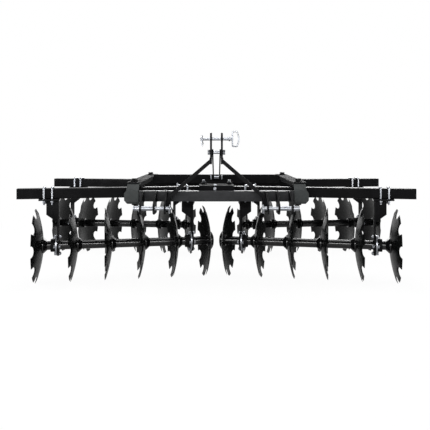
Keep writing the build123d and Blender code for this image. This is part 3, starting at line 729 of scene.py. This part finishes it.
# Bracket bolts: two bright hexagon heads on the front pivot bracket, one on its top and one on
# the front of its web.
HEX_SIDES = 6
BOLT_HEAD = ((-0.001, 0.0108), (0.0072, 0.0108), (0.0080, 0.0098))
for name, seat, way in (("top", (-0.010, -0.4700, 0.6010), (0, 0, 1)),
                        ("web", (-0.010, -0.4900, 0.5830), (0, -1, 0))):
    lathed(f"bracket_bolt_{name}", seat, way, BOLT_HEAD, "frame", HEX_SIDES)

# Gang shafts: cast spools and end bumpers drawn up on a square bar, in a thicker black paint
# with the grain of the casting under it.
cast_black = paint("cast_black", (0.004, 0.004, 0.0044), rough=0.20, shine=0.55, bump=0.3,
                   grain=170.0)
for row in ROWS:
    for side in SIDES:
        softened(f"gang_shaft_{row}_{side}", cast_black, 0.0014)

# Discs: rolled and dished steel plate with ten round notches and a ground edge, in black. One
# disc is drawn as rings of points about the axle, and a node tree strings six along each gang.
DISC_R = 0.2285
FLAT_R = 0.056
EYE_R = 0.030
NOTCHES = 10
NOTCH_R = 0.034
NOTCH_CENTRE_R = 0.222
GROUND_W = 0.011
GROUND_T = 0.0012
# share of the dish that is left halfway from the flat to the rim
BOW = 0.62


def rim_radius(turn):
    """Radius of the scalloped edge at an angle from the nearest notch's middle."""
    side_step = NOTCH_CENTRE_R * math.sin(turn)
    if abs(side_step) >= NOTCH_R:
        return DISC_R
    near = NOTCH_CENTRE_R * math.cos(turn) - math.sqrt(NOTCH_R**2 - side_step**2)
    return min(DISC_R, near)


def dish_curve():
    """Depth of the dish at a radius: the arc through the flat's edge, a middle point and the
    rim, as a function."""
    points = [(FLAT_R, -DISH), ((FLAT_R + DISC_R) / 2, -DISH * BOW), (DISC_R, 0.0)]
    (ax, ay), (bx, by), (cx, cy) = points
    double = 2 * (ax * (by - cy) + bx * (cy - ay) + cx * (ay - by))
    sa, sb, sc = ax**2 + ay**2, bx**2 + by**2, cx**2 + cy**2
    mx = (sa * (by - cy) + sb * (cy - ay) + sc * (ay - by)) / double
    my = (sa * (cx - bx) + sb * (ax - cx) + sc * (bx - ax)) / double
    size = math.hypot(ax - mx, ay - my)
    sign = 1.0 if ay > my else -1.0
    return lambda r: -DISH if r <= FLAT_R else my + sign * math.sqrt(size**2 - (r - mx) ** 2)


depth_at = dish_curve()
NOTCH_EDGE = math.degrees(math.asin(NOTCH_R / NOTCH_CENTRE_R))
# degrees from a notch's middle to the middle of a tooth, and shares of the way to the rim
COLUMNS = (0.0, 1.6, 3.2, 4.8, 6.2, 7.4, 8.3, NOTCH_EDGE - 0.02, NOTCH_EDGE + 0.12, 10.5,
           13.0, 15.5, 18.0)
RINGS = (0.0, 0.08, 0.17, 0.28, 0.39, 0.50, 0.61, 0.71, 0.80, 0.88, 0.935, 0.965, 1.0)


def disc_mesh(row, side):
    """The innermost disc of a gang, in place, with its radius kept on its points."""
    _, _, first, hollow = GANGS[row]
    turns = []
    for notch in range(NOTCHES):
        middle = math.radians(90.0 + 180.0 / NOTCHES + 360.0 / NOTCHES * notch)
        for column in COLUMNS[:0:-1]:
            turns.append((middle - math.radians(column), math.radians(column)))
        for column in COLUMNS[:-1]:
            turns.append((middle + math.radians(column), math.radians(column)))
    work = bmesh.new()
    radius_layer = work.verts.layers.float.new("radius")
    back_axis = gang_step(row, side, 0, 1)
    along_axis = gang_step(row, side, 1, 0)
    centre = gang_place(row, side, first, 0, AXLE_Z)
    skins = []
    for is_back in (False, True):
        grid = []
        for turn, from_notch in turns:
            spoke = back_axis * math.cos(turn) + Vector((0, 0, 1)) * math.sin(turn)
            rim = rim_radius(from_notch)
            column = []
            for part in RINGS:
                r = EYE_R + (rim - EYE_R) * part
                ground = min(1.0, (rim - r) / GROUND_W)
                thick = GROUND_T + (PLATE - GROUND_T) * ground
                lift = PLATE if is_back else PLATE - thick
                vert = work.verts.new(
                    centre + spoke * r + along_axis * hollow * (depth_at(r) + lift)
                )
                vert[radius_layer] = r
                column.append(vert)
            grid.append(column)
        skins.append(grid)
    total = len(turns)
    for grid in skins:
        for i in range(total):
            near, far = grid[i], grid[(i + 1) % total]
            for j in range(len(RINGS) - 1):
                work.faces.new((near[j], near[j + 1], far[j + 1], far[j]))
    low, high = skins
    for j in (0, -1):
        for i in range(total):
            after = (i + 1) % total
            work.faces.new((low[i][j], low[after][j], high[after][j], high[i][j]))
    bmesh.ops.recalc_face_normals(work, faces=work.faces)
    mesh = bpy.data.meshes.new("disc")
    work.to_mesh(mesh)
    work.free()
    return mesh


def disc_paint():
    """Black paint over rolled plate: fine rings about the axle show in its gloss."""
    finish = paint("disc_black", (0.003, 0.0033, 0.0033), rough=0.24, shine=0.075, bump=0.18,
                   grain=300.0)
    tree = finish.node_tree
    skin = next(node for node in tree.nodes if node.type == "BSDF_PRINCIPLED")
    peel = next(node for node in tree.nodes if node.type == "BUMP")
    radius = tree.nodes.new("ShaderNodeAttribute")
    radius.attribute_name = "radius"
    rings = tree.nodes.new("ShaderNodeTexNoise")
    rings.noise_dimensions = "1D"
    rings.inputs["Scale"].default_value = 420.0
    rings.inputs["Detail"].default_value = 3.0
    grooves = tree.nodes.new("ShaderNodeBump")
    grooves.inputs["Strength"].default_value = 0.16
    grooves.inputs["Distance"].default_value = 0.0006
    tree.links.new(radius.outputs["Fac"], rings.inputs["W"])
    tree.links.new(rings.outputs["Fac"], grooves.inputs["Height"])
    tree.links.new(peel.outputs["Normal"], grooves.inputs["Normal"])
    tree.links.new(grooves.outputs["Normal"], skin.inputs["Normal"])
    return finish


disc_black = disc_paint()
string_tree, add, link, given, placed = repeater(
    "discs_along_gang", (("Disc", "Geometry"), ("Count", "Int"), ("Step", "Vector"))
)
row_line = add("GeometryNodeMeshLine", mode="OFFSET")
link(given.outputs["Count"], row_line.inputs["Count"])
link(given.outputs["Step"], row_line.inputs["Offset"])
link(row_line.outputs["Mesh"], placed.inputs["Points"])
link(given.outputs["Disc"], placed.inputs["Instance"])
for row in ROWS:
    for side in SIDES:
        grown(f"notched_discs_{row}_{side}", disc_mesh(row, side), string_tree,
              {"Count": DISCS, "Step": tuple(gang_step(row, side, PITCH, 0))}, disc_black,
              f"gang_{row}_{side}", f"discs_{row}_{side}")
